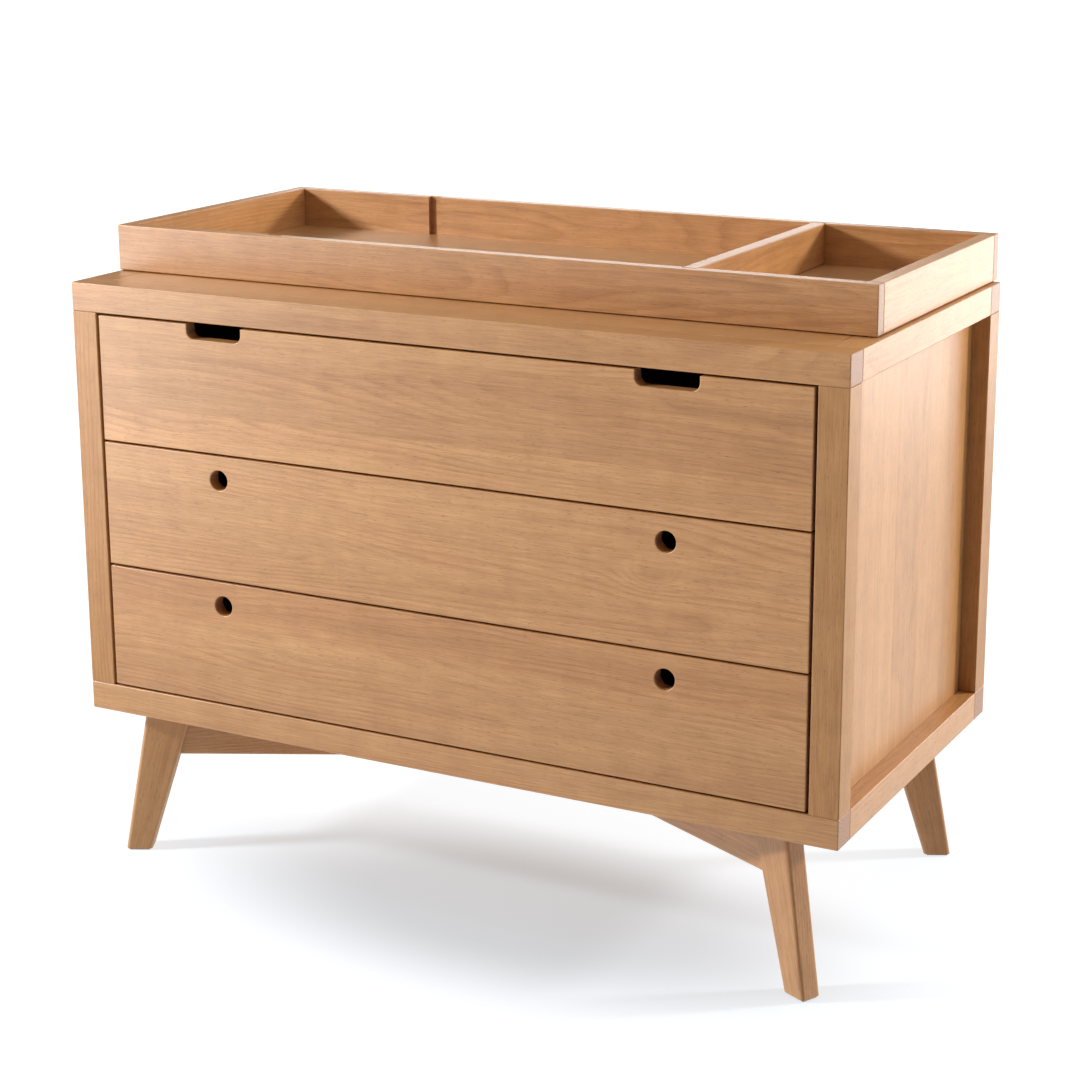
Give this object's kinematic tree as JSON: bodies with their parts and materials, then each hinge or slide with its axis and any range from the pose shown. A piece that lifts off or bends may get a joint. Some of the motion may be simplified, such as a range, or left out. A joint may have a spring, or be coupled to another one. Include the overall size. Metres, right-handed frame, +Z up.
{
  "type": "changing table",
  "caption": "Wooden changing table: a cabinet of flush drawers with finger holes on a crossed, splay-legged base, under a lift-off changing tray with a movable divider.",
  "frame": {"origin": "on the floor, under the middle of the overall box", "axes": "+Z up, -Y the side the drawers open towards, +X to the right of someone facing them"},
  "size_m": [1.14, 0.573, 0.898],
  "materials": {
    "pine": "satin clear lacquer on solid pine",
    "drawer_box_pine": "thin clear lacquer on solid pine",
    "plywood": "satin veneered plywood",
    "beech_dowel": "bare turned beech",
    "zinc_steel": "bright zinc-plated pressed steel",
    "glide_plastic": "matt dark plastic",
    "pad_felt": "dark felt"
  },
  "bodies": {
    "cabinet": {"back_bottom_rail": "pine", "back_left_leg": "pine", "back_left_post": "pine", "back_panel": "plywood", "back_panel_screws": "zinc_steel", "back_right_leg": "pine", "back_right_post": "pine", "back_top_rail": "pine", "base_screws": "zinc_steel", "bottom_panel": "pine", "foot_glides": "glide_plastic", "frame_dowels": "beech_dowel", "front_bottom_rail": "pine", "front_left_leg": "pine", "front_left_post": "pine", "front_right_leg": "pine", "front_right_post": "pine", "front_top_rail": "pine", "left_bottom_rail": "pine", "left_side_panel": "pine", "left_top_rail": "pine", "lower_brace": "pine", "right_bottom_rail": "pine", "right_side_panel": "pine", "right_top_rail": "pine", "slide_outers": "zinc_steel", "top_panel": "pine", "upper_brace": "pine"},
    "drawer_1": {"drawer_1_back": "drawer_box_pine", "drawer_1_bottom": "plywood", "drawer_1_dowels": "beech_dowel", "drawer_1_front": "pine", "drawer_1_left_side": "drawer_box_pine", "drawer_1_right_side": "drawer_box_pine", "slide_1_inner": "zinc_steel"},
    "drawer_2": {"drawer_2_back": "drawer_box_pine", "drawer_2_bottom": "plywood", "drawer_2_dowels": "beech_dowel", "drawer_2_front": "pine", "drawer_2_left_side": "drawer_box_pine", "drawer_2_right_side": "drawer_box_pine", "slide_2_inner": "zinc_steel"},
    "drawer_3": {"drawer_3_back": "drawer_box_pine", "drawer_3_bottom": "plywood", "drawer_3_dowels": "beech_dowel", "drawer_3_front": "pine", "drawer_3_left_side": "drawer_box_pine", "drawer_3_right_side": "drawer_box_pine", "slide_3_inner": "zinc_steel"},
    "slide_1": {"slide_1_middle": "zinc_steel"},
    "slide_2": {"slide_2_middle": "zinc_steel"},
    "slide_3": {"slide_3_middle": "zinc_steel"},
    "divider": {"tray_divider": "pine"},
    "tray": {"tray_back_board": "pine", "tray_dowels": "beech_dowel", "tray_floor": "plywood", "tray_front_board": "pine", "tray_left_board": "pine", "tray_pads": "pad_felt", "tray_right_board": "pine"}
  },
  "joints": [
    {"name": "drawer_1_slide", "type": "slide", "parent": "cabinet", "child": "drawer_1", "axis": [0, -1, 0], "range_m": [0, 0.45]},
    {"name": "slide_1_travel", "type": "slide", "parent": "cabinet", "child": "slide_1", "axis": [0, -1, 0], "range_m": [0, 0.225]},
    {"name": "drawer_2_slide", "type": "slide", "parent": "cabinet", "child": "drawer_2", "axis": [0, -1, 0], "range_m": [0, 0.45]},
    {"name": "slide_2_travel", "type": "slide", "parent": "cabinet", "child": "slide_2", "axis": [0, -1, 0], "range_m": [0, 0.225]},
    {"name": "drawer_3_slide", "type": "slide", "parent": "cabinet", "child": "drawer_3", "axis": [0, -1, 0], "range_m": [0, 0.45]},
    {"name": "slide_3_travel", "type": "slide", "parent": "cabinet", "child": "slide_3", "axis": [0, -1, 0], "range_m": [0, 0.225]},
    {"name": "tray_lift", "type": "slide", "parent": "cabinet", "child": "tray", "axis": [0, 0, 1], "range_m": [0, 0.12]},
    {"name": "divider_lift", "type": "slide", "parent": "tray", "child": "divider", "axis": [0, 0, 1], "range_m": [0, 0.07]}
  ],
  "couplings": [
    {"joint": "slide_1_travel", "follows": "drawer_1_slide", "ratio": 0.5},
    {"joint": "slide_2_travel", "follows": "drawer_2_slide", "ratio": 0.5},
    {"joint": "slide_3_travel", "follows": "drawer_3_slide", "ratio": 0.5}
  ]
}
